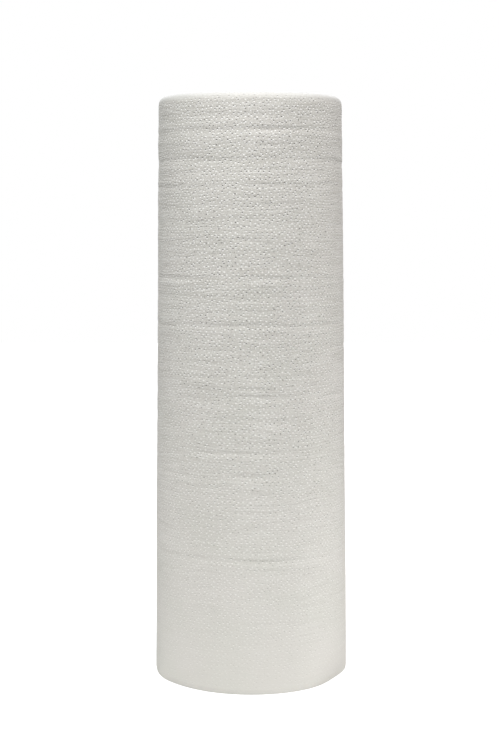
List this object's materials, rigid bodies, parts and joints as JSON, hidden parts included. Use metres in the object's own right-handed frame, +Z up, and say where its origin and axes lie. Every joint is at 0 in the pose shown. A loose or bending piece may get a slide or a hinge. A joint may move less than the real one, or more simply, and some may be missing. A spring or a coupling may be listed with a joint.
{
  "type": "exam table paper roll",
  "caption": "Roll of embossed paper on a cardboard core, for covering an examination table from a rod or holder.",
  "frame": {"origin": "centre of the base, on the roll's axis, with the roll standing on its wider end", "axes": "+Z up along the roll's axis and the core's bore; the picture looks along +Y"},
  "size_m": [0.1704, 0.17, 0.5],
  "materials": {
    "paper": "matt, embossed",
    "cardboard": "matt"
  },
  "bodies": {
    "root": {"paper_roll": "paper", "core_tube": "cardboard"}
  },
  "joints": []
}
